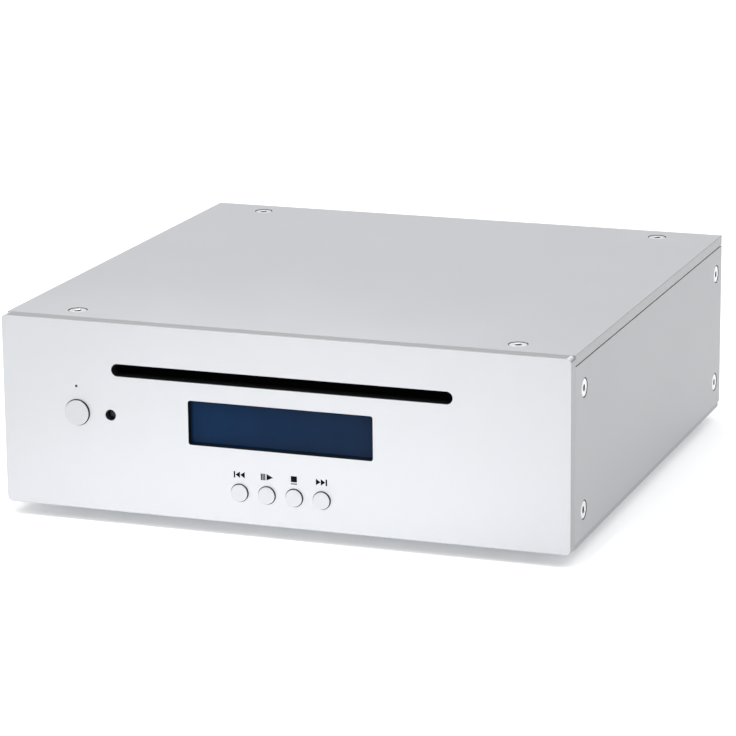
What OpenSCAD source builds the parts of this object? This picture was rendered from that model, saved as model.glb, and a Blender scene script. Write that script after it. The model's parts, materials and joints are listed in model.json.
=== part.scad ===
// Slot-loading disc player: aluminium case, front keys, disc drive, boards and rear sockets.
// Millimetres. +Z is up, the front face looks along -Y, and +X is to the viewer's right.

/* [Case] */
// Width of the case across the side panels
body_w = 206; // [204:1:212]
// Depth of the case from the front face to the rear edge
body_d = 200; // [200:1:206]
// Height of the front panel
panel_h = 67.4; // [67.4:0.2:70]
// Height of the feet below the front panel
foot_h = 4.6; // [4:0.1:6]
// Thickness of the front panel
panel_t = 4.7; // [4.4:0.1:4.7]
// Thickness of the top cover
cover_t = 3.6; // [3:0.1:3.6]
// Thickness of each side panel
side_t = 4; // [3:0.5:4]
// Corner radius of the front panel, seen from the front
panel_corner_r = 1.6; // [1:0.2:2]

/* [Front openings] */
// Width of the disc slot, its round ends included
slot_w = 123.6; // [123:0.2:126]
// Height of the disc slot
slot_h = 4.2; // [4.2:0.1:4.4]
// Height of the slot's centre above the panel's lower edge
slot_z = 50.7; // [50.5:0.1:50.9]
// Width of the display window
window_w = 67; // [60:1:67]
// Height of the display window
window_h = 15.5; // [14:0.5:15.5]
// Height of the display's centre above the panel's lower edge
window_z = 34.3; // [34:0.1:34.6]
// How deep the display pane lies behind the front face
window_depth = 2.1; // [1.5:0.1:2.2]
// Radius of the infrared receiver's hole
ir_r = 1.9; // [1.5:0.1:2]

/* [Keys] */
// Radius of the power button
power_r = 4.45; // [4:0.05:5]
// Radius of each control button
key_r = 3; // [3:0.05:3.4]
// Distance between neighbouring control buttons
key_pitch = 10; // [10:0.5:11]
// Height of the control buttons above the panel's lower edge
key_z = 11; // [10.6:0.1:11.4]
// How far the power button stands out of the panel
power_out = 0.8; // [0.7:0.1:1]
// How far each control button stands out of the panel
key_out = 0.7; // [0.5:0.1:0.7]
// Gap between a button and the wall of its hole
key_gap = 0.3; // [0.3:0.05:0.35]

/* [Rear] */
// How far the round sockets reach behind the case
socket_out = 8.5; // [8:0.5:9]
// Radius of a round socket's outer shell
socket_r = 4.15; // [4.1:0.05:4.2]

/* [Drive] */
// Distance of the turntable's axis behind the front face
turntable_y = 92; // [92:1:93]
// How far the deck rises to take the disc
deck_lift = 3.3; // [3:0.1:3.4]
// How far the cam frame slides to lift the deck
cam_travel = 10; // [10:0.5:10]

/* [Hidden] */
$fn = 40;
sliver = 0.02;
half_w = body_w / 2;
case_z0 = foot_h;
case_z1 = foot_h + panel_h;
base_z0 = case_z0 + 0.2;
base_z1 = base_z0 + 2;
side_z0 = base_z1 + 0.1;
seam = 0.3;
cover_z0 = case_z1 - cover_t;
side_z1 = cover_z0 - seam;
shell_y0 = panel_t + 0.2;
side_x0 = half_w - side_t;
slot_mid = case_z0 + slot_z;
display_mid = case_z0 + window_z;
keys_mid = case_z0 + key_z;
front_y = -(body_d + socket_out - power_out) / 2;

// Screws: shank and head radii, and the clearance holes around them
shank_r = 1.45;
thread_r = 1.5;
clear_r = 1.65;
head_r = 3.1;
head_h = 1.75;
hex_r = 1.16;
pan_r = 2.7;
pan_h = 1.9;
screw_len = 8;
pan_screw_len = 6;
base_screw_len = 6;
front_screw_len = 4.9;
cover_screw_x = 80.3;
cover_screw_y = [14, body_d - 10.3];
side_screw_y = [15.2, body_d - 8];
side_screw_z = [16.3, 58.6];
frame_screw_x = 91.5;
frame_screw_z = [24, 50];
base_screw_x = 91;
base_screw_y = [18, body_d - 16];

// Corner brackets
bracket_x1 = side_x0 - 0.1;
bracket_t = 3;
flange_t = 2;
bracket_len = 20;
flange_x0 = 87;
tab_x0 = 73.5;
bracket_z0 = base_z1 + sliver;
bracket_z1 = cover_z0 - sliver;

// Display pane: how far it reaches past the window, and the seat past the pane
window_corner_r = 0.8;
pane_border = 1.5;
pane_corner_r = 1.3;
seat_room = 0.2;
pane_t = 1.78;

// Ventilation slots
vent_pitch = 9;
vent_r = 1.5;
rear_vent_z = [44, 58];
base_vent_y = [84, 118];
base_vent_len = 22;

// Rear panel
rear_y0 = body_d - 4;
rear_y1 = rear_y0 + 2;
rear_half_w = side_x0 - 0.2;

// Feet
foot_r = 9;
foot_recess_r = 3.4;
foot_recess_z = 2.2;
foot_x = 78;
foot_y = [32, body_d - 32];

// Keys and front board
board_t = 1.6;
front_board_y = 12;
front_board_x = [-86, 42];
front_board_z = [9, 51];
front_post = [[-83, 12.5], [-83, 47.8], [38, 12.5], [38, 47.8]];
post_r = 2.5;
power_x = -75.1;
power_z = display_mid + 0.2;
ir_x = -62.6;
led_x = -75.3;
led_z = 48.5;
led_hole_r = 0.45;
key_x = [for (i = [-1.5 : 1 : 1.5]) i * key_pitch];
flange_y = panel_t + 0.3;
stem_r = 1.5;
stem_y = 8.6;
key_travel = 0.7;
collar_lip = 0.85;
switch_y = stem_y + key_travel + 0.3;
ir_lens_y = 1.9;
guide_y = 7.05;
guide_t = 1;

// Felt lips behind the disc slot
felt_half_w = 64;
felt_t = 1.45;
felt_h = 2.6;

// Main board
main_z = 13;
main_x = 90;
main_y = [60, body_d - 10];
main_post = [for (x = [-84, -30, 30, 84], y = [66, main_y[1] - 4]) [x, y]];
main_top = main_z + board_t;
ribbon_x = [-10, 14];
front_board_back = front_board_y + board_t;
drive_post = [for (x = [-64, 64], y = [24, 156]) [x, y]];
drive_post_r = 3;

// Rear sockets
socket_z = 23;
audio_x = [20, 42];
coax_x = -15;
phono_collar_r = 4.95;
phono_bore_r = 1.7;
phono_half_w = 5.5;
phono_len = 14;
optical_x = -40;
optical_half_w = 6.5;
optical_len = 12;
inlet_x = -70;
inlet_r = 5.4;
inlet_bore_r = 2.85;
inlet_pin_r = 1.05;
inlet_half_w = 7;
optical_half = 5;
optical_cavity = 6.4;

// Disc drive
tray_z0 = 36;
sheet = 1.2;
tray_z1 = tray_z0 + sheet;
tray_x = 70;
tray_y = [16, 166];
tray_top = 62.2;
lid_z = 62.25;
roller_y = 22;
roller_z = slot_mid - 6.3;
roller_r = 4;
shaft_r = 1.5;
running_gap = 0.06;
gear_mod = 0.6;
roller_teeth = 20;
gear_x = [62.5, 65.5];
idler_teeth = 24;
pinion_teeth = 10;
idler_y = roller_y + gear_mod * (roller_teeth + idler_teeth) / 2;
pinion_dir = -47;
pinion_reach = gear_mod * (idler_teeth + pinion_teeth) / 2;
pinion_y = idler_y + pinion_reach * cos(pinion_dir);
pinion_z = roller_z + pinion_reach * sin(pinion_dir);
idler_tooth_step = 360 / idler_teeth;
// The idler has a gap facing the roller's gear, and the pinion is turned to mesh with it
idler_phase = 180 + idler_tooth_step / 2;
idler_offset = (idler_phase - pinion_dir) % idler_tooth_step;
pinion_phase = pinion_dir + 180 + 180 / pinion_teeth - idler_offset * idler_teeth / pinion_teeth;

deck_z = 46;
deck_y = [74, 162];
deck_x = 58;
deck_pin_r = 1.2;
deck_pin_y = [83, 143];
deck_pin_z = deck_z + sheet / 2;
pin_gap = 0.3;
cam_x = 66.2;
cam_y = [66, 154];
cam_z = [38.2, 52];
turntable_z = slot_mid - 3.9;
turntable_r = 14;
hub_r = 7.4;
spindle_r = 1;
journal_gap = 0.05;
sled_y = turntable_y + 24;
sled_half = 8;
sled_x = 26;
rod_x = 22;
rod_z = 44;
rod_r = 1.5;
screw_x = 31.5;
screw_z = 41.9;
thread_pitch = 3;
arm_y = 158;
arm_z = 60;
puck_z = slot_mid + 2.4;

// ---- shared shapes ----

// Everything is laid out from the front face, then moved so that the part is centred
module place() translate([0, front_y, 0]) children();

module block(low, high) translate(low) cube([for (i = [0 : 2]) high[i] - low[i]]);

module rod_along_x(x0, x1, y, z, r) translate([x0, y, z]) rotate([0, 90, 0]) cylinder(h = x1 - x0, r = r);

module rod_along_y(x, y0, y1, z, r) translate([x, y0, z]) rotate([-90, 0, 0]) cylinder(h = y1 - y0, r = r);

module rod_along_z(x, y, z0, z1, r) translate([x, y, z0]) cylinder(h = z1 - z0, r = r);

// A flat shape drawn in X and Z, thick along Y
module upright(y0, y1) translate([0, y1, 0]) rotate([90, 0, 0]) linear_extrude(y1 - y0) children();

// A flat shape drawn in Y and Z, thick along X
module sideways(x0, x1) translate([x0, 0, 0]) rotate([90, 0, 90]) linear_extrude(x1 - x0) children();

module rounded_rect(w, h, r) {
    square([w - 2 * r, h], center = true);
    square([w, h - 2 * r], center = true);
    for (x = [-1, 1], y = [-1, 1]) translate([x * (w / 2 - r), y * (h / 2 - r)]) circle(r);
}

// A straight slot with round ends, from one point to the other
module capsule(from, to, r) {
    d = norm(to - from);
    translate(from) rotate(atan2(to[1] - from[1], to[0] - from[0])) {
        translate([0, -r]) square([d, 2 * r]);
        circle(r);
        translate([d, 0]) circle(r);
    }
}

// Countersunk screw with a hexagon socket, its head's face at the origin and its shank along -Z
module countersunk_screw(len) difference() {
    union() {
        translate([0, 0, -head_h]) cylinder(h = head_h, r1 = shank_r, r2 = head_r);
        translate([0, 0, -len]) cylinder(h = len - head_h / 2, r = shank_r);
    }
    translate([0, 0, -1.2]) cylinder(h = 2, r = hex_r, $fn = 6);
}

module countersink(len) {
    translate([0, 0, -head_h]) cylinder(h = head_h, r1 = clear_r, r2 = head_r + 0.2);
    translate([0, 0, -sliver]) cylinder(h = 1, r = head_r + 0.2);
    translate([0, 0, -len - 1]) cylinder(h = len + 1, r = clear_r);
}

// Pan-head screw, the underside of its head at the origin and its shank along -Z
module pan_screw(len) difference() {
    union() {
        cylinder(h = pan_h, r = pan_r);
        translate([0, 0, -len]) cylinder(h = len + 0.5, r = shank_r);
    }
    translate([0, 0, pan_h - 1.2]) cylinder(h = 2, r = hex_r, $fn = 6);
}

module at_cover_screws() for (x = [-1, 1], y = cover_screw_y)
    translate([x * cover_screw_x, y, case_z1 - 0.1]) children();

module at_side_screws(side) for (y = side_screw_y, z = side_screw_z)
    translate([side * (half_w - 0.1), y, z]) rotate([0, side * 90, 0]) children();

module at_base_screws() for (x = [-1, 1], y = base_screw_y)
    translate([x * base_screw_x, y, base_z0 + 0.05]) rotate([180, 0, 0]) children();

module at_front_screws() for (x = [-1, 1], z = frame_screw_z)
    translate([x * frame_screw_x, panel_t + 0.05 + flange_t, z]) rotate([-90, 0, 0]) children();

module at_rear_screws() for (x = [-1, 1], z = frame_screw_z)
    translate([x * frame_screw_x, rear_y1, z]) rotate([-90, 0, 0]) children();

// Toothed wheel with its axis along X; one tooth points at the given angle from +Y towards +Z
module gear(teeth, phase, bore) {
    pitch_r = gear_mod * teeth / 2;
    root = pitch_r - 0.75;
    tip = pitch_r + 0.48;
    step = 360 / teeth;
    difference() {
        rotate([90, 0, 90]) linear_extrude(gear_x[1] - gear_x[0]) polygon([
            for (i = [0 : teeth - 1], k = [0 : 3])
                let (a = phase + i * step + [-0.27, -0.11, 0.11, 0.27][k] * step)
                let (r = (k == 0 || k == 3) ? root : tip)
                [r * cos(a), r * sin(a)]
        ]);
        rod_along_x(-1, gear_x[1] - gear_x[0] + 1, 0, 0, bore);
    }
}

// ---- case ----

module front_panel() color("#d9dbdd") place() difference() {
    upright(0, panel_t) translate([0, case_z0 + panel_h / 2]) rounded_rect(body_w, panel_h, panel_corner_r);
    upright(-1, panel_t + 1) {
        reach = slot_w / 2 - slot_h / 2;
        capsule([-reach, slot_mid], [reach, slot_mid], slot_h / 2);
        translate([0, display_mid]) rounded_rect(window_w, window_h, window_corner_r);
        translate([power_x, power_z]) circle(power_r + key_gap);
        for (x = key_x) translate([x, keys_mid]) circle(key_r + key_gap);
        translate([ir_x, power_z]) circle(ir_r);
        translate([led_x, led_z]) circle(led_hole_r);
    }
    // The pane's seat, cut in from behind
    seat = 2 * (pane_border + seat_room);
    upright(window_depth, panel_t + 1) translate([0, display_mid])
        rounded_rect(window_w + seat, window_h + seat, pane_corner_r + seat_room);
    at_front_screws() translate([0, 0, -front_screw_len - 0.3])
        cylinder(h = front_screw_len + 0.3, r = thread_r);
}

module top_cover() color("#c9cbce") place() difference() {
    block([-half_w, shell_y0, cover_z0], [half_w, body_d, case_z1]);
    at_cover_screws() countersink(screw_len);
}

module side_panel(side) difference() {
    x = side * half_w;
    block([min(x, x - side * side_t), shell_y0, side_z0], [max(x, x - side * side_t), body_d, side_z1]);
    at_side_screws(side) countersink(screw_len);
}

module left_side_panel() color("#bfc2c5") place() side_panel(-1);

module right_side_panel() color("#bfc2c5") place() side_panel(1);

module rear_panel() color("#2c2d2f") place() difference() {
    block([-rear_half_w, rear_y0, base_z1 + 0.05], [rear_half_w, rear_y1, cover_z0 - 0.1]);
    upright(rear_y0 - 1, rear_y1 + 1) {
        for (x = concat(audio_x, coax_x)) translate([x, socket_z]) circle(phono_collar_r + 0.15);
        translate([inlet_x, socket_z]) circle(inlet_r + 0.2);
        translate([optical_x, socket_z]) square(2 * optical_half + 0.4, center = true);
        for (i = [-6 : 6])
            capsule([i * vent_pitch, rear_vent_z[0]], [i * vent_pitch, rear_vent_z[1]], vent_r);
    }
    at_rear_screws() translate([0, 0, -4]) cylinder(h = 5, r = clear_r);
}

module base_plate() color("#aeb1b4") place() difference() {
    block([-half_w + 0.4, shell_y0, base_z0], [half_w - 0.4, body_d - 0.4, base_z1]);
    at_base_screws() countersink(4);
    for (x = [-1, 1], y = foot_y) rod_along_z(x * foot_x, y, base_z0 - 1, base_z1 + 1, thread_r);
    translate([0, 0, base_z0 - 1]) linear_extrude(4)
        for (i = [-4 : 4], y = base_vent_y)
            capsule([i * vent_pitch, y], [i * vent_pitch, y + base_vent_len], vent_r);
}

// Corner bracket: a flange on the side panel and shorter ones on the end panel, the cover and the base
module bracket(side, rear) {
    y0 = rear ? rear_y0 - 0.05 - bracket_len : panel_t + 0.05;
    y1 = y0 + bracket_len;
    end_y = rear ? [y1 - flange_t, y1] : [y0, y0 + flange_t];
    difference() {
        scale([side, 1, 1]) {
            block([bracket_x1 - bracket_t, y0, bracket_z0], [bracket_x1, y1, bracket_z1]);
            block([tab_x0, y0, bracket_z1 - 3.4], [bracket_x1, y1, bracket_z1]);
            block([flange_x0, y0, bracket_z0], [bracket_x1, y1, bracket_z0 + 3]);
            block([flange_x0, end_y[0], bracket_z0], [bracket_x1, end_y[1], bracket_z1]);
        }
        at_cover_screws() translate([0, 0, -12]) cylinder(h = 12, r = thread_r);
        at_side_screws(side) translate([0, 0, -12]) cylinder(h = 12, r = thread_r);
        at_base_screws() translate([0, 0, -8]) cylinder(h = 8, r = thread_r);
        at_front_screws() translate([0, 0, -5]) cylinder(h = 5.5, r = clear_r);
        at_rear_screws() translate([0, 0, -12]) cylinder(h = 12, r = thread_r);
    }
}

module front_left_bracket() color("#8f9499") place() bracket(-1, false);

module front_right_bracket() color("#8f9499") place() bracket(1, false);

module rear_left_bracket() color("#8f9499") place() bracket(-1, true);

module rear_right_bracket() color("#8f9499") place() bracket(1, true);

module cover_screws() color("#d0d2d4") place() at_cover_screws() countersunk_screw(screw_len);

module side_screws() color("#d0d2d4") place() for (side = [-1, 1])
    at_side_screws(side) countersunk_screw(screw_len);

module frame_screws() color("#8c8f92") place() {
    at_base_screws() countersunk_screw(base_screw_len);
    at_front_screws() pan_screw(front_screw_len);
    at_rear_screws() pan_screw(pan_screw_len);
}

module rubber_feet() color("#1c1c1d") place() for (x = [-1, 1], y = foot_y) translate([x * foot_x, y, 0])
    difference() {
        cylinder(h = base_z0 - sliver, r = foot_r);
        translate([0, 0, -1]) cylinder(h = foot_recess_z + 1, r = foot_recess_r);
        translate([0, 0, -1]) cylinder(h = base_z0 + 2, r = clear_r);
    }

module foot_screws() color("#8c8f92") place() for (x = [-1, 1], y = foot_y)
    translate([x * foot_x, y, foot_recess_z]) rotate([180, 0, 0]) pan_screw(pan_screw_len);

// ---- front ----

module display_window() color("#1a2c46") place()
    upright(window_depth + sliver, window_depth + sliver + pane_t) translate([0, display_mid])
        rounded_rect(window_w + 2 * pane_border, window_h + 2 * pane_border, pane_corner_r);

module display_module() color("#2d3138") place() {
    block([-31, window_depth + 1.9, display_mid - 6.2], [31, 7.2, display_mid + 6.2]);
    block([-34, 7.2, display_mid - 8.4], [34, front_board_y - sliver, display_mid + 8.4]);
}

module front_board() color("#1f5a3a") place() difference() {
    block([front_board_x[0], front_board_y, front_board_z[0]],
        [front_board_x[1], front_board_y + board_t, front_board_z[1]]);
    for (p = front_post) rod_along_y(p[0], front_board_y - 1, front_board_y + board_t + 1, p[1], clear_r);
}

module at_keys() {
    translate([power_x, 0, power_z]) children();
    for (x = key_x) translate([x, 0, keys_mid]) children();
}

module key_switches() color("#3a3b3d") place() at_keys() {
    block([-3, switch_y + 0.5, -3], [3, front_board_y - sliver, 3]);
    rod_along_y(0, switch_y, switch_y + 1, 0, 1.6);
}

module guide(x0, x1, z0, z1, leg) {
    block([x0, guide_y, z0], [x1, guide_y + guide_t, z1]);
    for (x = [x0, x1 - leg]) block([x, panel_t + sliver, z0], [x + leg, guide_y + guide_t, z1]);
}

module key_guides() color("#26272a") place() difference() {
    union() {
        guide(-24, 24, keys_mid - 4.5, keys_mid + 4.5, 3.2);
        guide(-84, -66.2, power_z - 5.6, power_z + 5.6, 1.8);
    }
    at_keys() rod_along_y(0, guide_y - 1, guide_y + 3, 0, stem_r + key_gap);
}

// A key: cap through the panel, a collar behind it and a stem through the guide
module key(r, out) {
    rod_along_y(0, -out, flange_y + 0.2, 0, r);
    rod_along_y(0, flange_y, flange_y + 1, 0, r + collar_lip);
    rod_along_y(0, flange_y, stem_y, 0, stem_r);
}

module control_key(i) color("#d3d5d7") place() translate([key_x[i], 0, keys_mid]) key(key_r, key_out);

module power_button() color("#d3d5d7") place() translate([power_x, 0, power_z]) key(power_r, power_out);

module previous_button() control_key(0);

module play_button() control_key(1);

module stop_button() control_key(2);

module next_button() control_key(3);

module ir_window() color("#241416") place() translate([ir_x, 0, power_z]) {
    rod_along_y(0, ir_lens_y, panel_t + 0.5, 0, ir_r - 0.1);
    rod_along_y(0, panel_t + 0.05, panel_t + 0.8, 0, ir_r + 0.9);
}

module ir_receiver() color("#2a2223") place()
    block([ir_x - 2.6, panel_t + 1, power_z - 3.4], [ir_x + 2.6, front_board_y - sliver, power_z + 3.4]);

module power_led() color("#e8ecef") place() translate([led_x, 0, led_z]) {
    rod_along_y(0, 0.3, panel_t + 1, 0, led_hole_r - 0.05);
    rod_along_y(0, panel_t + 0.4, front_board_y - sliver, 0, 1.5);
}

module dust_felts() color("#17171a") place() for (side = [-1, 1]) {
    edge = slot_mid + side * (slot_h / 2 + 0.05);
    block([-felt_half_w, panel_t + 0.05, min(edge, edge + side * felt_h)],
        [felt_half_w, panel_t + 0.05 + felt_t, max(edge, edge + side * felt_h)]);
}

// ---- main board and rear sockets ----

module main_board() color("#1f5a3a") place() difference() {
    block([-main_x, main_y[0], main_z], [main_x, main_y[1], main_top]);
    for (p = main_post) rod_along_z(p[0], p[1], main_z - 1, main_top + 1, clear_r);
    for (p = drive_post) rod_along_z(p[0], p[1], main_z - 1, main_top + 1, drive_post_r + 1);
}

module board_posts() color("#c9a24a") place() {
    for (p = main_post) difference() {
        rod_along_z(p[0], p[1], base_z1 + sliver, main_z - sliver, post_r);
        rod_along_z(p[0], p[1], base_z1 + 1, main_z + 1, thread_r);
    }
    for (p = front_post) difference() {
        rod_along_y(p[0], panel_t + sliver, front_board_y - sliver, p[1], post_r);
        rod_along_y(p[0], panel_t + 1.5, front_board_y + 1, p[1], thread_r);
    }
}

module board_screws() color("#8c8f92") place() {
    for (p = main_post) translate([p[0], p[1], main_top + sliver]) pan_screw(pan_screw_len);
    for (p = front_post)
        translate([p[0], front_board_back + sliver, p[1]]) rotate([-90, 0, 0]) pan_screw(pan_screw_len);
}

module processor_chip() color("#1b1b1d") place() translate([-30, 110, main_top + sliver]) {
    translate([-9, -9, 0.3]) cube([18, 18, 1.8]);
    for (a = [0 : 90 : 270], i = [-7 : 7]) rotate(a)
        translate([8.8, i * 1.1 - 0.25, 0]) cube([2.2, 0.5, 0.5]);
}

module filter_capacitors() color("#22252b") place()
    for (x = [58, 72], y = [84, 100, 116]) rod_along_z(x, y, main_top + sliver, main_top + 15, 5);

// Round phono socket: moulded body on the board, with a hollow metal shell out of the rear panel
module phono_socket(x) difference() {
    union() {
        block([x - phono_half_w, rear_y0 - phono_len, main_top + sliver],
            [x + phono_half_w, rear_y0 - sliver, socket_z + 6]);
        rod_along_y(x, rear_y0 - 2, rear_y1 + 0.8, socket_z, phono_collar_r);
        rod_along_y(x, rear_y0 - 2, body_d + socket_out, socket_z, socket_r);
    }
    rod_along_y(x, rear_y0 - 4, body_d + socket_out + 1, socket_z, phono_bore_r);
}

module left_audio_socket() color("#c9a24a") place() phono_socket(audio_x[0]);

module right_audio_socket() color("#c9a24a") place() phono_socket(audio_x[1]);

module coaxial_socket() color("#c9a24a") place() phono_socket(coax_x);

module optical_socket() color("#1f2022") place() difference() {
    union() {
        block([optical_x - optical_half_w, rear_y0 - optical_len, main_top + sliver],
            [optical_x + optical_half_w, rear_y0 - sliver, socket_z + 6]);
        translate([optical_x, 0, 0]) block([-optical_half, rear_y0 - 2, socket_z - optical_half],
            [optical_half, rear_y1 + 1, socket_z + optical_half]);
    }
    translate([optical_x - optical_cavity / 2, rear_y1 - 8, socket_z - optical_cavity / 2])
        cube([optical_cavity, 10, optical_cavity]);
}

module power_inlet() color("#1f2022") place() {
    difference() {
        union() {
            block([inlet_x - inlet_half_w, rear_y0 - 14, main_top + sliver],
                [inlet_x + inlet_half_w, rear_y0 - sliver, socket_z + 7]);
            rod_along_y(inlet_x, rear_y0 - 2, rear_y1 + 1.2, socket_z, inlet_r);
        }
        rod_along_y(inlet_x, rear_y1 - 9, rear_y1 + 2, socket_z, inlet_bore_r);
    }
    rod_along_y(inlet_x, rear_y1 - 10, rear_y1, socket_z, inlet_pin_r);
}

module display_ribbon() color("#cfd2d6") place() {
    block([ribbon_x[0], front_board_back + sliver, 15], [ribbon_x[1], front_board_back + 5, 21]);
    block([ribbon_x[0] + 2, front_board_back + 4, 17.8], [ribbon_x[1] - 2, main_y[0] + 4, 18.4]);
    block([ribbon_x[0], main_y[0] + 2, main_top + sliver], [ribbon_x[1], main_y[0] + 7, main_top + 5.4]);
}

module drive_ribbon() color("#cfd2d6") place() translate([-22, 130, 0]) {
    block([0, -2, tray_z0 - 3], [22, 3, tray_z0 - sliver]);
    block([1, 0, main_top + 2], [21, 0.6, tray_z0 - 2]);
    block([0, -2, main_top + sliver], [22, 3, main_top + 4]);
}

// ---- disc drive ----

module drive_base() color("#9aa0a6") place() difference() {
    union() {
        block([-tray_x, tray_y[0], tray_z0], [tray_x, tray_y[1], tray_z1]);
        for (x = [-tray_x, tray_x - sheet]) block([x, tray_y[0], tray_z0], [x + sheet, tray_y[1], tray_top]);
        block([-tray_x, tray_y[1] - sheet, tray_z0], [tray_x, tray_y[1], tray_top]);
        // The loading gear's fixed axle
        rod_along_x(gear_x[0] - 1, tray_x - sheet / 2, idler_y, roller_z, 1);
    }
    rod_along_x(-tray_x - 1, tray_x + 1, roller_y, roller_z, shaft_r + running_gap);
    // The deck's pins run up and down in these slots
    for (x = [-tray_x - 1, tray_x - sheet - 1], y = deck_pin_y) sideways(x, x + sheet + 2)
        capsule([y, deck_pin_z], [y, deck_pin_z + deck_lift], deck_pin_r + pin_gap);
    translate([0, 0, tray_z0 - 1]) linear_extrude(4) {
        for (x = [-40, 40]) translate([x, 70]) rounded_rect(28, 40, 4);
        for (p = drive_post) translate(p) circle(thread_r);
    }
}

module drive_lid() color("#a6abb0") place() difference() {
    union() {
        block([-tray_x, tray_y[0], lid_z], [tray_x, tray_y[1], lid_z + sheet]);
        for (x = [-12.4, 11.2]) block([x, arm_y - 4, arm_z - 2.5], [x + sheet, arm_y + 4, lid_z + sheet]);
    }
    rod_along_x(-14, 14, arm_y, arm_z, spindle_r + running_gap);
    translate([0, 0, lid_z - 1]) linear_extrude(4)
        for (x = [-46, 46]) translate([x, turntable_y]) rounded_rect(26, 60, 5);
}

module drive_posts() color("#c9a24a") place() for (p = drive_post) {
    rod_along_z(p[0], p[1], base_z1 + sliver, tray_z0 - sliver, drive_post_r);
    rod_along_z(p[0], p[1], tray_z0 - 1, tray_z1 + 1, shank_r);
}

// Plate above the disc's path at the mouth, with two long ribs that keep the disc level
module disc_guide() color("#2b2c2f") place() {
    block([-66, 15, lid_z - 2], [66, 30, lid_z - sliver]);
    for (y = [16, 27.5]) block([-64, y, slot_mid + 2.3], [64, y + 1.5, lid_z - 1]);
}

module roller_shaft() color("#b9bdc2") place() {
    rod_along_x(-tray_x - 1, tray_x + 1, roller_y, roller_z, shaft_r);
    translate([gear_x[0], roller_y, roller_z]) gear(roller_teeth, 0, shaft_r - 0.5);
}

// Two rubber sleeves, thickest at the outer ends so that they steer the disc to the middle
module roller_rubber() color("#2a2523") place() for (side = [-1, 1]) scale([side, 1, 1]) difference() {
    union() {
        rod_along_x(8, 26, roller_y, roller_z, roller_r - 0.6);
        rod_along_x(25, 43, roller_y, roller_z, roller_r - 0.3);
        rod_along_x(42, 60, roller_y, roller_z, roller_r);
    }
    rod_along_x(7, 61, roller_y, roller_z, shaft_r + sliver);
}

module loading_motor() color("#8d9196") place() difference() {
    rod_along_x(41, 59.5, pinion_y, pinion_z, 4.1);
    rod_along_x(54, 60, pinion_y, pinion_z, 0.8);
}

module loading_gear() color("#e2dfd2") place()
    translate([gear_x[0], idler_y, roller_z]) gear(idler_teeth, idler_phase, 1 + running_gap);

module loading_pinion() color("#c9a24a") place() {
    translate([gear_x[0], pinion_y, pinion_z]) gear(pinion_teeth, pinion_phase, 0.5);
    rod_along_x(55, gear_x[1] + 0.5, pinion_y, pinion_z, 0.75);
}

// Two slotted side plates and the strap that joins them under the deck
module cam_frame() color("#dcd8c8") place() difference() {
    union() {
        for (x = [-cam_x - sheet, cam_x]) block([x, cam_y[0], cam_z[0]], [x + sheet, cam_y[1], cam_z[1]]);
        block([-cam_x - sheet, cam_y[1] - 12, cam_z[0]], [cam_x + sheet, cam_y[1] - 2, cam_z[0] + sheet]);
    }
    for (x = [-cam_x - sheet - 1, cam_x - 1], y = deck_pin_y) sideways(x, x + sheet + 2)
        capsule([y, deck_pin_z], [y - cam_travel, deck_pin_z + deck_lift], deck_pin_r + pin_gap);
}

module deck_plate() color("#b2b7bc") place() difference() {
    union() {
        block([-deck_x, deck_y[0], deck_z], [deck_x, deck_y[1], deck_z + sheet]);
        for (y = deck_pin_y) {
            block([-64.5, y - 7, deck_z], [64.5, y + 7, deck_z + sheet]);
            for (x = [-69.6, 63]) rod_along_x(x, x + 6.6, y, deck_pin_z, deck_pin_r);
        }
        // Ears that hold the rods and the lead screw
        for (x = [-rod_x - 4, rod_x - 4], y = [deck_y[0] + 31, deck_y[1] - 1.4])
            block([x, y, rod_z - 3], [x + 8, y + 1.4, deck_z + 0.5]);
        block([screw_x - 3, deck_y[1] - 1.4, screw_z - 2.4], [screw_x + 3, deck_y[1], deck_z + 0.5]);
    }
    block([-sled_x - 1, turntable_y + 14.5, deck_z - 1], [sled_x + 1, deck_y[1] - 2.4, deck_z + 2]);
    rod_along_z(0, turntable_y, deck_z - 1, deck_z + 2, 5);
    for (x = [-rod_x, rod_x]) rod_along_y(x, deck_y[0] + 30, deck_y[1] + 1, rod_z, rod_r + 0.04);
    rod_along_y(screw_x, deck_y[1] - 3, deck_y[1] + 1, screw_z, spindle_r + journal_gap);
}

module spindle_motor() color("#74797e") place() difference() {
    rod_along_z(0, turntable_y, deck_z - 5.4, deck_z - 0.05, 12);
    rod_along_z(0, turntable_y, deck_z - 4, deck_z + 1, spindle_r + journal_gap);
}

module turntable() color("#e6e6e3") place() translate([0, turntable_y, 0]) {
    rod_along_z(0, 0, turntable_z - 2.2, turntable_z, turntable_r);
    rod_along_z(0, 0, turntable_z - 0.5, turntable_z + 1.1, hub_r);
    translate([0, 0, turntable_z + 1]) cylinder(h = 0.6, r1 = hub_r - 0.2, r2 = hub_r - 1.2);
    rod_along_z(0, 0, deck_z - 3, turntable_z - 1, spindle_r);
}

module laser_sled() color("#34363a") place() difference() {
    union() {
        block([-sled_x, sled_y - sled_half, rod_z - 2], [sled_x, sled_y + sled_half, rod_z + 4.6]);
        rod_along_z(0, sled_y, rod_z + 4, rod_z + 5.4, 5);
        // The follower that rides on the lead screw
        block([sled_x - 1, sled_y - 3, screw_z - 2], [screw_x + 3, sled_y + 3, screw_z + 2.3]);
    }
    for (x = [-rod_x, rod_x]) rod_along_y(x, sled_y - 20, sled_y + 20, rod_z, rod_r + journal_gap);
    rod_along_y(screw_x, sled_y - 20, sled_y + 20, screw_z, rod_r + 0.3);
    rod_along_z(0, sled_y, rod_z + 4.9, rod_z + 6, 2.2);
}

module sled_rods() color("#c4c8cc") place() for (x = [-rod_x, rod_x])
    rod_along_y(x, deck_y[0] + 31, deck_y[1] - 0.1, rod_z, rod_r);

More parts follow.
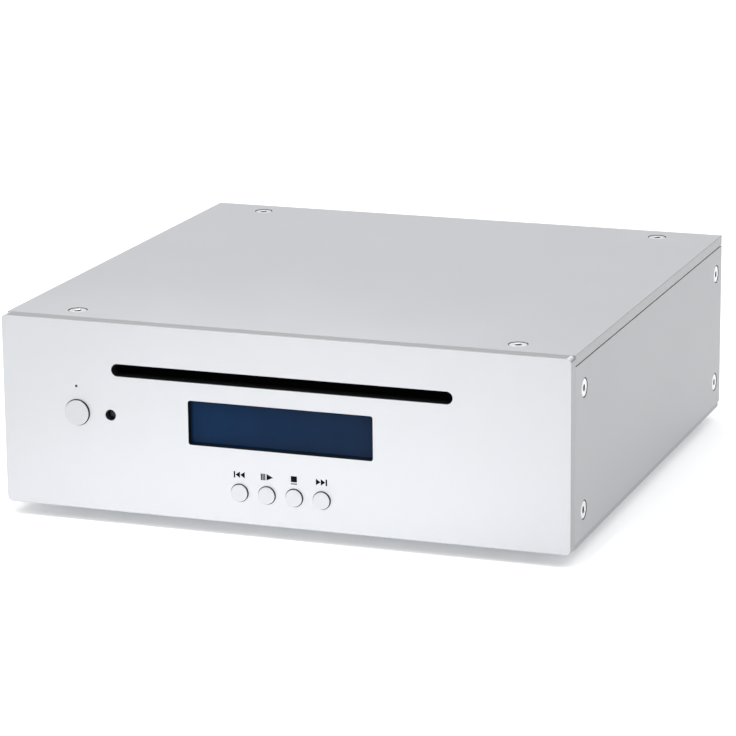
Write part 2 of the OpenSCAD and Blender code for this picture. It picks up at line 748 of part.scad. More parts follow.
module sled_motor() color("#8d9196") place() difference() {
    rod_along_y(screw_x, 84, 100, screw_z, 3.95);
    rod_along_y(screw_x, 94, 101, screw_z, spindle_r + journal_gap);
}

module lead_screw() color("#b9bdc2") place() {
    rod_along_y(screw_x, 95, deck_y[1] - 0.1, screw_z, spindle_r);
    for (y = [102 : thread_pitch : deck_y[1] - 4])
        rod_along_y(screw_x, y, y + thread_pitch / 2, screw_z, rod_r);
}

module clamp_arm() color("#a6abb0") place() difference() {
    union() {
        block([-9, turntable_y, arm_z - 0.7], [9, arm_y, arm_z + 0.5]);
        rod_along_z(0, turntable_y, arm_z - 0.7, arm_z + 0.5, 17);
        rod_along_x(-10.6, 10.6, arm_y, arm_z, 1.8);
        rod_along_x(-13, 13, arm_y, arm_z, spindle_r);
    }
    rod_along_z(0, turntable_y, arm_z - 2, arm_z + 2, 9.4);
}

module clamp_puck() color("#3a3c40") place() translate([0, turntable_y, 0]) difference() {
    union() {
        rod_along_z(0, 0, puck_z, arm_z - 1.1, 14);
        rod_along_z(0, 0, arm_z - 1.5, arm_z + 1, 9);
        rod_along_z(0, 0, arm_z + 0.9, arm_z + 1.8, 11);
    }
    rod_along_z(0, 0, puck_z - 1, puck_z + 2.4, 8);
}

front_panel();
top_cover();
left_side_panel();
right_side_panel();
rear_panel();
base_plate();
front_left_bracket();
front_right_bracket();
rear_left_bracket();
rear_right_bracket();
cover_screws();
side_screws();
frame_screws();
rubber_feet();
foot_screws();
display_window();
display_module();
front_board();
key_switches();
key_guides();
power_button();
previous_button();
play_button();
stop_button();
next_button();
ir_window();
ir_receiver();
power_led();
dust_felts();
main_board();
board_posts();
board_screws();
processor_chip();
filter_capacitors();
power_inlet();
left_audio_socket();
right_audio_socket();
coaxial_socket();
optical_socket();
display_ribbon();
drive_ribbon();
drive_base();
drive_lid();
drive_posts();
disc_guide();
roller_shaft();
roller_rubber();
loading_motor();
loading_gear();
loading_pinion();
cam_frame();
deck_plate();
spindle_motor();
turntable();
laser_sled();
sled_rods();
sled_motor();
lead_screw();
clamp_arm();
clamp_puck();
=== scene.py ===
import json
import math

import bmesh
import bpy
from mathutils import Matrix, Vector
from mathutils.geometry import delaunay_2d_cdt


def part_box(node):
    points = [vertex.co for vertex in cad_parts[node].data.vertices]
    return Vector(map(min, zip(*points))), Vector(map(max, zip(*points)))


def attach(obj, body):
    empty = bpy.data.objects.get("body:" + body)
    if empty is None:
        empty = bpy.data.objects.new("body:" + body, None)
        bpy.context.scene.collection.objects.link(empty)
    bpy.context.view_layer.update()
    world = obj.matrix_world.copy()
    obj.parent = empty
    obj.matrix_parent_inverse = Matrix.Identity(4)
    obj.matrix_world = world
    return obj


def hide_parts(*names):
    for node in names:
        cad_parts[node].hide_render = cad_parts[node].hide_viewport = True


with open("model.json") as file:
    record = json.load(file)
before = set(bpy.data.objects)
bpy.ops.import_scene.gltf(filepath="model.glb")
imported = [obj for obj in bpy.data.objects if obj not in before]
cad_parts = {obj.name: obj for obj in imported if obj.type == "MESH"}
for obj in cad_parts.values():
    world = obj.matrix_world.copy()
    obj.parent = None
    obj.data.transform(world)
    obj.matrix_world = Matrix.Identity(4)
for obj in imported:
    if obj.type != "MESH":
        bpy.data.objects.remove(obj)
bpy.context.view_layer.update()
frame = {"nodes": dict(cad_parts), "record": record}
mm = 0.001
scene = bpy.context.scene
print("frame loaded:", len(frame["nodes"]), "nodes")


# places taken from the frame
def low(node):
    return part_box(node)[0]


def high(node):
    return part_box(node)[1]


def middle(node):
    return (low(node) + high(node)) / 2


frontY = low("front_panel").y
keyNodes = ["previous_button", "play_button", "stop_button", "next_button"]
keyShape = {"collarLip": 0.85 * mm, "gap": 0.2 * mm, "edge": 0.15 * mm}


def capRadius(node):
    # the collar behind the panel is the widest part of a key, and the cap is that much narrower
    start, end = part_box(node)
    return (end.x - start.x) / 2 - keyShape["collarLip"]


xAxis, yAxis, zAxis = Vector((1, 0, 0)), Vector((0, 1, 0)), Vector((0, 0, 1))


class Wire:
    # a node's output that can be used in sums
    def __init__(self, finish, out):
        self.finish = finish
        self.out = out

    def maths(self, operation, first, second):
        return self.finish.add("ShaderNodeMath", {"operation": operation}, {0: first, 1: second})

    def __add__(self, other):
        return self.maths("ADD", self, other)

    __radd__ = __add__

    def __sub__(self, other):
        return self.maths("SUBTRACT", self, other)

    def __rsub__(self, other):
        return self.maths("SUBTRACT", other, self)

    def __mul__(self, other):
        return self.maths("MULTIPLY", self, other)

    __rmul__ = __mul__


class Finish:
    def __init__(self, name, **shader):
        self.material = bpy.data.materials.new(name)
        self.material.use_nodes = True
        self.tree = self.material.node_tree
        self.shader = self.tree.nodes["Principled BSDF"]
        self.feed(self.shader, shader)

    def feed(self, node, sockets):
        for key, value in sockets.items():
            socket = node.inputs[key if isinstance(key, int) else key.replace("_", " ")]
            if isinstance(value, Wire):
                self.tree.links.new(value.out, socket)
            elif isinstance(value, (tuple, list)) and len(value) == 3 and socket.type == "RGBA":
                socket.default_value = (*value, 1)
            else:
                socket.default_value = value

    def add(self, kind, settings=None, sockets=None, output=0):
        node = self.tree.nodes.new(kind)
        for key, value in (settings or {}).items():
            if key == "stops":
                ramp = node.color_ramp.elements
                while len(ramp) < len(value):
                    ramp.new(0.5)
                for stop, (place, shade) in zip(ramp, value):
                    stop.position = place
                    stop.color = (*shade, 1) if isinstance(shade, (tuple, list)) else (shade,) * 3 + (1,)
            else:
                setattr(node, key, value)
        self.feed(node, sockets or {})
        return Wire(self, node.outputs[output])

    def place(self):
        return self.add("ShaderNodeTexCoord", output=3)

    def noise(self, size, detail=2, rough=0.5, stretch=None):
        at = self.place()
        if stretch:
            at = self.add("ShaderNodeMapping", None, {0: at, 3: stretch})
        return self.add("ShaderNodeTexNoise", None,
                        {"Vector": at, "Scale": 1 / size, "Detail": detail, "Roughness": rough})

    def cells(self, size):
        return self.add("ShaderNodeTexVoronoi", None, {"Vector": self.place(), "Scale": 1 / size})

    def range(self, wire, lowest, highest, start=0.0, end=1.0):
        return self.add("ShaderNodeMapRange", None, {0: wire, 1: start, 2: end, 3: lowest, 4: highest})

    def mix(self, factor, one, two, blend="MIX"):
        return self.add("ShaderNodeMix", {"data_type": "RGBA", "blend_type": blend},
                        {0: factor, 6: one, 7: two}, output=2)

    def bump(self, height, depth, strength=1.0, under=None):
        sockets = {"Height": height, "Distance": depth, "Strength": strength}
        if under:
            sockets["Normal"] = under
        return self.add("ShaderNodeBump", None, sockets)

    def on(self, **sockets):
        self.feed(self.shader, sockets)
        return self


def blastedMetal(name, tone, rough, metal=1.0, grain=0.22):
    # glass-bead blasted and anodised: a fine even grain, faint clouding and a little handling polish
    finish = Finish(name, Metallic=metal, Specular_IOR_Level=0.5)
    fine = finish.noise(grain * mm, 3, 0.6)
    cloud = finish.noise(38 * mm, 3, 0.55)
    pits = finish.cells(0.55 * mm)
    shade = finish.range(cloud, 0.985, 1.012, 0.3, 0.7) * finish.range(fine, 0.985, 1.015, 0.3, 0.7)
    colour = finish.mix(1.0, tone, finish.add("ShaderNodeCombineColor", None, {0: shade, 1: shade, 2: shade}),
                        "MULTIPLY")
    roughness = (finish.range(fine, rough - 0.05, rough + 0.05, 0.3, 0.7)
                 + finish.range(cloud, -0.02, 0.02, 0.3, 0.7))
    grainBump = finish.bump(fine, 0.006 * mm, 0.5)
    return finish.on(Base_Color=colour, Roughness=roughness,
                     Normal=finish.bump(pits, 0.004 * mm, 0.3, grainBump)).material


def turnedMetal(name, tone, rough, along=(1, 1, 1), grain=0.12):
    # machined metal with fine tool lines and small scuffs
    finish = Finish(name, Metallic=1.0)
    lines = finish.noise(grain * mm, 2, 0.6, along)
    scuffs = finish.noise(1.6 * mm, 4, 0.7)
    wear = finish.range(scuffs, 0.94, 1.03, 0.35, 0.65)
    colour = finish.mix(1.0, tone, finish.add("ShaderNodeCombineColor", None, {0: wear, 1: wear, 2: wear}),
                        "MULTIPLY")
    return finish.on(Base_Color=colour, Roughness=finish.range(lines, rough - 0.06, rough + 0.08, 0.3, 0.7),
                     Normal=finish.bump(lines, 0.003 * mm, 0.6)).material


def zincSheet(name, tone, rough):
    # zinc plate: soft spangle under a light oily haze
    finish = Finish(name, Metallic=1.0)
    spangle = finish.cells(5 * mm)
    haze = finish.noise(22 * mm, 4, 0.6)
    colour = finish.mix(finish.range(spangle, 0.0, 1.0, 0.0, 0.8), [0.86 * part for part in tone], tone)
    return finish.on(Base_Color=colour, Roughness=finish.range(haze, rough - 0.07, rough + 0.1, 0.3, 0.7),
                     Normal=finish.bump(finish.noise(0.5 * mm, 2), 0.004 * mm, 0.5)).material


def moulded(name, tone, rough, grain=0.35, depth=0.012, coat=0.0):
    # moulded plastic: spark-eroded texture with a slight bloom
    finish = Finish(name, Specular_IOR_Level=0.45, Coat_Weight=coat, Coat_Roughness=0.12)
    texture = finish.cells(grain * mm)
    bloom = finish.noise(14 * mm, 3, 0.6)
    colour = finish.mix(finish.range(bloom, 0.0, 1.0, 0.3, 0.7), tone, [part * 1.12 + 0.002 for part in tone])
    return finish.on(Base_Color=colour, Roughness=finish.range(bloom, rough - 0.04, rough + 0.06, 0.3, 0.7),
                     Normal=finish.bump(texture, depth * mm, 0.6)).material


def powderCoat(name, tone):
    # fine orange-peel powder coat
    finish = Finish(name, Specular_IOR_Level=0.5)
    peel = finish.noise(0.7 * mm, 2, 0.5)
    speck = finish.noise(0.18 * mm, 1, 0.5)
    colour = finish.mix(finish.range(speck, 0.0, 1.0, 0.35, 0.65), tone,
                        [part * 1.35 + 0.002 for part in tone])
    return finish.on(Base_Color=colour, Roughness=finish.range(peel, 0.42, 0.58, 0.3, 0.7),
                     Normal=finish.bump(peel, 0.03 * mm, 0.7)).material


def tintedPane(name):
    # blue filter over the display, with painted shade towards its edge where it sits under the panel's
    # border, and the display's dark cells just showing
    pane = {"deep": (0.002, 0.009, 0.022), "blue": (0.0024, 0.0202, 0.063), "grey": (0.0044, 0.0172, 0.048)}
    finish = Finish(name, Roughness=0.12, Specular_IOR_Level=0.06, Coat_Weight=0.0)
    paneLow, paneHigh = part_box("display_window")
    split = finish.add("ShaderNodeSeparateXYZ", None, {0: finish.place()})
    across = finish.add("ShaderNodeMapRange", None, {0: split, 1: paneLow.x, 2: paneHigh.x, 3: 0.0, 4: 1.0})
    up = finish.range(Wire(finish, split.out.node.outputs[2]), 0.0, 1.0, paneLow.z, paneHigh.z)
    body = finish.mix(finish.range(across, 0.0, 1.0, 0.15, 0.95), pane["blue"], pane["grey"])
    # painted shade: the pane turns deep blue close to its edges
    rim = (across * (1 - across) * 60.0) * (up * (1 - up) * 18.0)
    rim = finish.add("ShaderNodeMath", {"operation": "MINIMUM"}, {0: rim, 1: 1.0})
    haze = finish.noise(9 * mm, 3, 0.5)
    body = finish.mix(finish.range(haze, 0.0, 0.22, 0.3, 0.7), body, pane["deep"])
    return finish.on(Base_Color=finish.mix(rim, pane["deep"], body),
                     Roughness=finish.range(haze, 0.10, 0.15, 0.3, 0.7)).material


def circuitBoard(name):
    # green solder resist: tracks as raised lines, a woven laminate below
    finish = Finish(name, Specular_IOR_Level=0.5)
    tracks = finish.add("ShaderNodeTexBrick", {"offset": 0.35, "squash": 0.6},
                        {"Vector": finish.place(), "Scale": 160.0, "Mortar Size": 0.035, "Color1": (0, 0, 0),
                         "Color2": (0, 0, 0), "Mortar": (1, 1, 1)})
    weave = finish.noise(0.4 * mm, 2)
    colour = finish.mix(tracks, (0.012, 0.085, 0.04), (0.03, 0.17, 0.075))
    return finish.on(Base_Color=colour, Roughness=finish.range(weave, 0.28, 0.4, 0.3, 0.7),
                     Normal=finish.bump(tracks, 0.035 * mm, 0.8)).material


def feltPile(name, tone):
    finish = Finish(name, Specular_IOR_Level=0.02)
    pile = finish.noise(0.16 * mm, 4, 0.7)
    return finish.on(Base_Color=finish.mix(pile, [part * 0.5 for part in tone], tone),
                     Roughness=finish.range(pile, 0.9, 1.0), Normal=finish.bump(pile, 0.08 * mm,
                                                                                1.0)).material


def ribbonSheath(name):
    # flat cable: side-by-side conductors under a thin sheath
    finish = Finish(name, Specular_IOR_Level=0.4)
    wires = finish.add("ShaderNodeTexWave", {"wave_type": "BANDS", "bands_direction": "X"},
                       {"Vector": finish.place(), "Scale": 150.0, "Distortion": 0.0})
    grime = finish.noise(6 * mm, 3)
    return finish.on(Base_Color=finish.mix(wires, (0.38, 0.39, 0.41), (0.66, 0.67, 0.69)),
                     Roughness=finish.range(grime, 0.35, 0.5, 0.3, 0.7),
                     Normal=finish.bump(wires, 0.12 * mm, 0.8)).material


def printedInk(name):
    finish = Finish(name, Specular_IOR_Level=0.04)
    edge = finish.noise(0.12 * mm, 2)
    return finish.on(Base_Color=finish.mix(edge, (0.002, 0.002, 0.003), (0.006, 0.006, 0.008)),
                     Roughness=finish.range(edge, 0.5, 0.65, 0.3, 0.7)).material


def clearLens(name, tone, rough):
    finish = Finish(name, Specular_IOR_Level=0.2, Coat_Weight=0.25, Coat_Roughness=0.04)
    swirl = finish.noise(1.5 * mm, 2)
    return finish.on(Base_Color=finish.mix(swirl, tone, [part * 1.4 for part in tone]),
                     Roughness=finish.range(swirl, rough, rough + 0.06, 0.3, 0.7)).material


finishes = {
    "blasted": blastedMetal("blasted_aluminium", (0.588, 0.597, 0.614), 0.50),
    # the top cover's copy of the same aluminium, a little darker and bluer: painted shade
    "cover": blastedMetal("blasted_cover", (0.566, 0.579, 0.602), 0.50),
    # the side panels' copy of the same aluminium, darker: painted shade for the faces turned from the light
    "side": blastedMetal("blasted_side", (0.462, 0.468, 0.480), 0.50),
    # darker copy for the cut edges of the plates and the walls of their holes: painted shade
    "milled": blastedMetal("edge_painted_shade", (0.395, 0.399, 0.408), 0.42, grain=0.4),
    # darker grey for the base sheet's edge next to the floor: painted shade
    "baseEdge": blastedMetal("base_edge", (0.370, 0.375, 0.384), 0.45, grain=0.4),
    "key": blastedMetal("key_face", (0.536, 0.544, 0.558), 0.45, grain=0.16),
    # bright copy for the top and bottom faces of the front panel's edge: painted highlight
    "crown": blastedMetal("panel_crown", (0.840, 0.850, 0.866), 0.50),
    # near-black copy for hole walls, countersinks and screw sockets: painted shade
    "shade": blastedMetal("recess_painted_shade", (0.025, 0.025, 0.027), 0.55, grain=0.3),
    # near-black copy for the walls of the disc slot: painted shade inside the slot
    "slotWall": blastedMetal("slot_wall", (0.090, 0.092, 0.096), 0.50, grain=0.3),
    # near-black copy for the side walls of the keys: painted shade round each key
    "keyWallShade": blastedMetal("key_wall_painted_shade", (0.070, 0.072, 0.075), 0.45, grain=0.16),
    "stainless": turnedMetal("stainless_head", (0.75, 0.755, 0.77), 0.24),
    "zinc": zincSheet("zinc_sheet", (0.58, 0.60, 0.62), 0.38),
    "coated": powderCoat("black_powder", (0.020, 0.020, 0.022)),
    "pane": tintedPane("tinted_pane"),
    "infrared": clearLens("infrared_lens", (0.006, 0.003, 0.004), 0.08),
    "black": moulded("black_moulding", (0.018, 0.018, 0.020), 0.48),
    "ivory": moulded("acetal_moulding", (0.70, 0.67, 0.58), 0.42),
    "white": moulded("white_moulding", (0.78, 0.78, 0.76), 0.40),
    "red": moulded("red_moulding", (0.42, 0.018, 0.02), 0.35),
    "board": circuitBoard("circuit_board"),
    "felt": feltPile("slot_felt", (0.0015, 0.0015, 0.0017)),
    "rubber": moulded("foot_rubber", (0.016, 0.016, 0.017), 0.78, 0.5, 0.03),
    "gold": turnedMetal("gold_plate", (0.83, 0.62, 0.26), 0.22),
    "lamp": clearLens("lamp_tip", (0.05, 0.055, 0.06), 0.12),
    "ribbon": ribbonSheath("ribbon_sheath"),
    "motor": turnedMetal("motor_can", (0.52, 0.54, 0.56), 0.30, (1, 1, 12)),
    "ink": printedInk("black_ink"),
}
print("finishes made:", len(finishes))


class Lay:
    # where a shape is drawn: u and v across it, depth going into the part
    def __init__(self, origin, u, v, depth):
        self.origin, self.u, self.v, self.depth = Vector(origin), Vector(u), Vector(v), Vector(depth)

    def at(self, u, v, depth):
        return self.origin + self.u * u + self.v * v + self.depth * depth

    def moved(self, u, v, depth=0.0):
        return Lay(self.at(u, v, depth), self.u, self.v, self.depth)


def finished(name, mesh, material, body, node=None, crease=32):
    mesh.update()
    piece = bpy.data.objects.new(name, mesh)
    scene.collection.objects.link(piece)
    for one in material if isinstance(material, list) else [material]:
        mesh.materials.append(finishes[one])
    mesh.polygons.foreach_set("use_smooth", [True] * len(mesh.polygons))
    mesh.set_sharp_from_angle(angle=math.radians(crease))
    weighted = piece.modifiers.new("even shading", "WEIGHTED_NORMAL")
    weighted.keep_sharp = True
    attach(piece, body)
    if node:
        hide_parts(*(node if isinstance(node, list) else [node]))
    return piece


def meshFrom(bm, name):
    bmesh.ops.recalc_face_normals(bm, faces=bm.faces)
    mesh = bpy.data.meshes.new(name)
    bm.to_mesh(mesh)
    bm.free()
    return mesh


def arc(radius, steps=4):
    # rounding of an edge, as (how far in from the outline, how deep) from the face to the wall
    return [(radius * (1 - math.sin(math.pi / 2 * i / steps)),
             radius * (1 - math.cos(math.pi / 2 * i / steps)))
            for i in range(steps + 1)]


def roundedLoop(u, v, width, height, radius, steps=8):
    # a rounded rectangle that can be grown by the amount given
    def loop(grow):
        r = max(radius + grow, 0.01 * mm)
        a, b = width / 2 - radius, height / 2 - radius
        points = []
        for su, sv, start in ((1, 1, 0), (-1, 1, 90), (-1, -1, 180), (1, -1, 270)):
            for i in range(steps + 1):
                if i == 0 and points and (b if start in (0, 180) else a) < 0.001 * mm:
                    continue  # the straight piece has no length, so its two ends are one point
                if start == 270 and i == steps and b < 0.001 * mm:
                    continue
                turn = math.radians(start + 90 * i / steps)
                points.append((u + su * a + r * math.cos(turn), v + sv * b + r * math.sin(turn)))
        return points
    return loop


def roundLoop(u, v, radius, count=48):
    def loop(grow):
        return [(u + (radius + grow) * math.cos(2 * math.pi * i / count),
                 v + (radius + grow) * math.sin(2 * math.pi * i / count)) for i in range(count)]
    return loop


def wallRings(bm, lay, loop, profile, rim):
    # the walls of one outline, and its first and last rings as (vert, place across the plate)
    outlines = [loop(grow) for grow, _ in profile]
    rings = [[bm.verts.new(lay.at(u, v, depth)) for u, v in points]
             for points, (_, depth) in zip(outlines, profile)]
    for upper, lower in zip(rings, rings[1:]):
        for i in range(len(upper)):
            j = (i + 1) % len(upper)
            bm.faces.new((upper[i], upper[j], lower[j], lower[i])).material_index = rim
    return list(zip(rings[0], outlines[0])), list(zip(rings[-1], outlines[-1]))


def flatFill(bm, rings):
    # fills a flat face whose first ring is its edge and whose other rings are round or square holes
    corners, places, sides, owner = [], [], [], []
    for number, ring in enumerate(rings):
        first = len(corners)
        for i, (vert, place) in enumerate(ring):
            corners.append(vert)
            places.append(Vector(place) / mm)
            sides.append((first + i, first + (i + 1) % len(ring)))
            owner.append(number)
    filled = delaunay_2d_cdt(places, sides, [], 1, 1e-6)
    for triangle in filled[2]:
        three = [filled[3][i][0] for i in triangle]
        if owner[three[0]] == owner[three[1]] == owner[three[2]] > 0:
            continue  # it lies across a hole
        bm.faces.new([corners[i] for i in three])


def plate(name, lay, thickness, outline, outerEdge, holes, material, body, node=None,
          rimMaterial=None,
          backEdge=0.2 * mm):
    # a flat plate with rounded edges
    # each hole is (outline, profile from the face to the back, finish of the wall)
    bm = bmesh.new()
    rim = 1 if rimMaterial else 0
    outerProfile = [(-inset, depth) for inset, depth in arc(outerEdge)]
    outerProfile += [(-inset, thickness - depth) for inset, depth in reversed(arc(backEdge, 2))]
    ends = [wallRings(bm, lay, outline, outerProfile, rim)]
    ends += [wallRings(bm, lay, hole[0], hole[1], hole[2] if len(hole) > 2 else rim) for hole in holes]
    flatFill(bm, [near for near, far in ends])
    flatFill(bm, [far for near, far in ends])
    extras = [] if not rimMaterial else rimMaterial if isinstance(rimMaterial, list) else [rimMaterial]
    return finished(name, meshFrom(bm, name), [material] + extras, body, node)


def through(edge, thickness):
    # a plain hole with a broken edge at the face
    return [(inset, depth) for inset, depth in arc(edge, 3)] + [(0, thickness)]


def sunk(headRadius, holeRadius, thickness, coneDepth):
    # a countersink round an outline of the hole's own radius
    wide = headRadius - holeRadius
    return [(wide + 0.12 * mm, 0), (wide + 0.03 * mm, 0.04 * mm), (wide, 0.14 * mm), (wide, 0.35 * mm),
            (0, 0.35 * mm + coneDepth), (0, thickness)]


def turned(name, lay, rows, material, body, node=None, count=48, closed=True, materialRows=None):
    # a turned piece: each row is (radius, depth) or (radius, depth, sides) for a flat-sided socket
    bm = bmesh.new()
    rings = []
    for row in rows:
        radius, depth = row[0], row[1]
        sides = row[2] if len(row) > 2 else 0
        ring = []
        for i in range(count):
            angle = 2 * math.pi * i / count
            r = radius
            if sides:
                half = math.pi / sides
                r = radius * math.cos(half) / math.cos((angle + half) % (2 * half) - half)
            ring.append(bm.verts.new(lay.at(r * math.cos(angle), r * math.sin(angle), depth)))
        rings.append(ring)
    for k, (upper, lower) in enumerate(zip(rings, rings[1:])):
        for i in range(count):
            j = (i + 1) % count
            face = bm.faces.new((upper[i], upper[j], lower[j], lower[i]))
            face.material_index = materialRows[k] if materialRows else 0
    if closed:
        for ring in (rings[0], rings[-1]):
            bm.faces.new(ring)
    else:
        for i in range(count):
            j = (i + 1) % count
            bm.faces.new((rings[-1][i], rings[-1][j], rings[0][j], rings[0][i]))
    return meshFrom(bm, name) if material is None else finished(name, meshFrom(bm, name), material, body,
                                                                node)


def joined(name, meshes, material, body, node=None):
    # several separate solids in one piece
    bm = bmesh.new()
    for mesh in meshes:
        bm.from_mesh(mesh)
        bpy.data.meshes.remove(mesh)
    mesh = bpy.data.meshes.new(name)
    bm.to_mesh(mesh)
    bm.free()
    return finished(name, mesh, material, body, node)


def slab(name, lay, width, height, radius, depth, edge, material, body, node=None):
    return plate(name, lay, depth, roundedLoop(0, 0, width, height, radius, 4), edge, [], material, body,
                 node)


case = {
    "panelCorner": 1.7 * mm, "panelEdge": 0.16 * mm, "coverEdge": 0.14 * mm, "sideEdge": 0.2 * mm,
    "screwHole": 1.65 * mm, "screwSeat": 3.32 * mm, "coneDepth": 1.6 * mm,
}


def panelLay():
    return Lay((0, frontY, 0), xAxis, zAxis, yAxis)


def frontPanel():
    start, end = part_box("front_panel")
    thickness = end.y - start.y
    pane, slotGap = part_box("display_window"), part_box("dust_felts")
    slotMiddle = (slotGap[0].z + slotGap[1].z) / 2
    window = {"border": 1.5 * mm, "corner": 0.8 * mm, "seat": 1.7 * mm}
    slot = {"width": 123.6 * mm, "height": 4.2 * mm, "edge": 0.14 * mm}
    paneDepth = pane[0].y - start.y
    holes = [
        # the slot's walls take the near-black copy: painted shade
        (roundedLoop(0, slotMiddle, slot["width"], slot["height"], slot["height"] / 2, 12),
         through(slot["edge"], thickness), 4),
        (roundedLoop((pane[0].x + pane[1].x) / 2, (pane[0].z + pane[1].z) / 2,
                     pane[1].x - pane[0].x - 2 * window["border"],
                     pane[1].z - pane[0].z - 2 * window["border"],
                     window["corner"], 6),
         [*arc(0.10 * mm, 3), (0, paneDepth), (window["seat"], paneDepth), (window["seat"], thickness)], 2),
    ]
    for node in ["power_button"] + keyNodes:
        at = middle(node)
        # the walls round each key take the near-black painted shade
        holes.append((roundLoop(at.x, at.z, capRadius(node) + keyShape["gap"], 64),
                      through(0.06 * mm, thickness), 2))
    at = middle("ir_window")
    holes.append((roundLoop(at.x, at.z, 1.9 * mm), through(0.15 * mm, thickness)))
    at = middle("power_led")
    holes.append((roundLoop(at.x, at.z, 0.45 * mm, 24), through(0.06 * mm, thickness)))
    outline = roundedLoop((start.x + end.x) / 2, (start.z + end.z) / 2, end.x - start.x, end.z - start.z,
                          case["panelCorner"], 10)
    panel = plate("front_panel_plate", panelLay(), thickness, outline, case["panelEdge"], holes, "blasted",
                  "case",
                  "front_panel", ["milled", "shade", "crown", "slotWall"])
    # edge faces that point up or down: those on the panel's top and bottom edge take the bright copy, a
    # painted highlight
    for face in panel.data.polygons:
        if face.material_index == 1 and abs(face.normal.z) > 0.6 and abs(face.center.x) > 0.001 * mm:
            outside = face.center.z > end.z - 1 * mm or face.center.z < start.z + 1 * mm
            face.material_index = 3 if outside else 1


def flatPlate(name, node, lay, uv, thickness, screwsAt, edge, material, rim=None):
    # a rectangular plate with a countersunk hole at each screw
    (u0, u1), (v0, v1) = uv
    # each countersink takes the near-black painted shade
    holes = [(roundLoop(u, v, case["screwHole"], 40),
              sunk(case["screwSeat"], case["screwHole"], thickness, case["coneDepth"]), 2)
             for u, v in screwsAt]
    outline = roundedLoop((u0 + u1) / 2, (v0 + v1) / 2, u1 - u0, v1 - v0, 0.35 * mm, 3)
    return plate(name, lay, thickness, outline, edge, holes, material, "case", node,
                 [rim or material, "shade"])


def groups(node):
    # the centre of each separate solid of a CAD node
    mesh = frame["nodes"][node].data
    parent = list(range(len(mesh.vertices)))

    def root(i):
        while parent[i] != i:
            parent[i] = parent[parent[i]]
            i = parent[i]
        return i

    same = {}
    for vert in mesh.vertices:
        key = tuple(round(c * 1e6) for c in vert.co)
        parent[root(vert.index)] = root(same.setdefault(key, vert.index))
    for edge in mesh.edges:
        parent[root(edge.vertices[0])] = root(edge.vertices[1])
    found = {}
    for vert in mesh.vertices:
        found.setdefault(root(vert.index), []).append(vert.co)
    boxes = [(Vector([min(c[i] for c in cs) for i in range(3)]),
              Vector([max(c[i] for c in cs) for i in range(3)]))
             for cs in found.values()]
    return sorted(boxes, key=lambda b: tuple(round(c * 1e4) for c in b[0]))


def centre(box):
    return (box[0] + box[1]) / 2


coverScrews = groups("cover_screws")
sideScrews = groups("side_screws")
frameScrews = groups("frame_screws")
baseScrews = [b for b in frameScrews if centre(b).z < high("base_plate").z + 2 * mm]
endScrews = [b for b in frameScrews if b not in baseScrews]


def panels():
    start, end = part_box("top_cover")
    # the cover takes the darker copy, and its cut edges the darker edge copy: painted shade
    flatPlate("cover_plate", "top_cover", Lay((0, 0, end.z), xAxis, yAxis, -zAxis),
              ((start.x, end.x), (start.y, end.y)), end.z - start.z,
              [(centre(b).x, centre(b).y) for b in coverScrews], case["coverEdge"], "cover", rim="milled")
    for side, node, name in ((-1, "left_side_panel", "left_cheek"), (1, "right_side_panel", "right_cheek")):
        start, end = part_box(node)
        outer = end.x if side > 0 else start.x
        at = [(centre(b).y, centre(b).z) for b in sideScrews if centre(b).x * side > 0]
        # the cheeks take the darker copy of the aluminium: painted shade
        flatPlate(name, node, Lay((outer, 0, 0), yAxis, zAxis, xAxis * -side),
                  ((start.y, end.y), (start.z, end.z)),
                  end.x - start.x, at, case["sideEdge"], "side")


screwHead = {"head": 3.1 * mm, "shank": 1.45 * mm, "cone": 1.75 * mm, "hex": 1.3 * mm, "depth": 1.2 * mm}


def sunkScrew(lay, length):
    s = screwHead
    rows = [(s["shank"], length), (s["shank"], s["cone"]), (s["head"], 0.14 * mm), (s["head"], 0.09 * mm),
            (s["head"] - 0.10 * mm, 0.015 * mm), (s["head"] - 0.28 * mm, 0), (s["hex"] + 0.42 * mm, 0),
            (s["hex"] + 0.16 * mm, 0.02 * mm, 6), (s["hex"], 0.16 * mm, 6), (s["hex"], s["depth"], 6),
            (0.25 * mm, s["depth"] + 0.35 * mm)]
    # the hex socket rows take the second finish, the near-black painted shade
    return turned("screw", lay, rows, None, None, materialRows=[0] * 8 + [1, 1, 0])


def panScrew(lay, length):
    s = screwHead
    head, tall = 2.7 * mm, 1.9 * mm
    rows = [(s["shank"], length), (s["shank"], 0), (head - 0.05 * mm, 0), (head, -0.1 * mm),
            (head, -1.0 * mm),
            (head - 0.2 * mm, -1.5 * mm), (head - 0.65 * mm, -1.82 * mm), (head - 1.1 * mm, -tall),
            (s["hex"] + 0.2 * mm, -tall), (s["hex"], -tall + 0.15 * mm, 6), (s["hex"], -tall + 1.2 * mm, 6),
            (0.25 * mm, -tall + 1.4 * mm)]
    # the hex socket rows take the second finish, the near-black painted shade
    return turned("screw", lay, rows, None, None, materialRows=[0] * 9 + [1, 1])


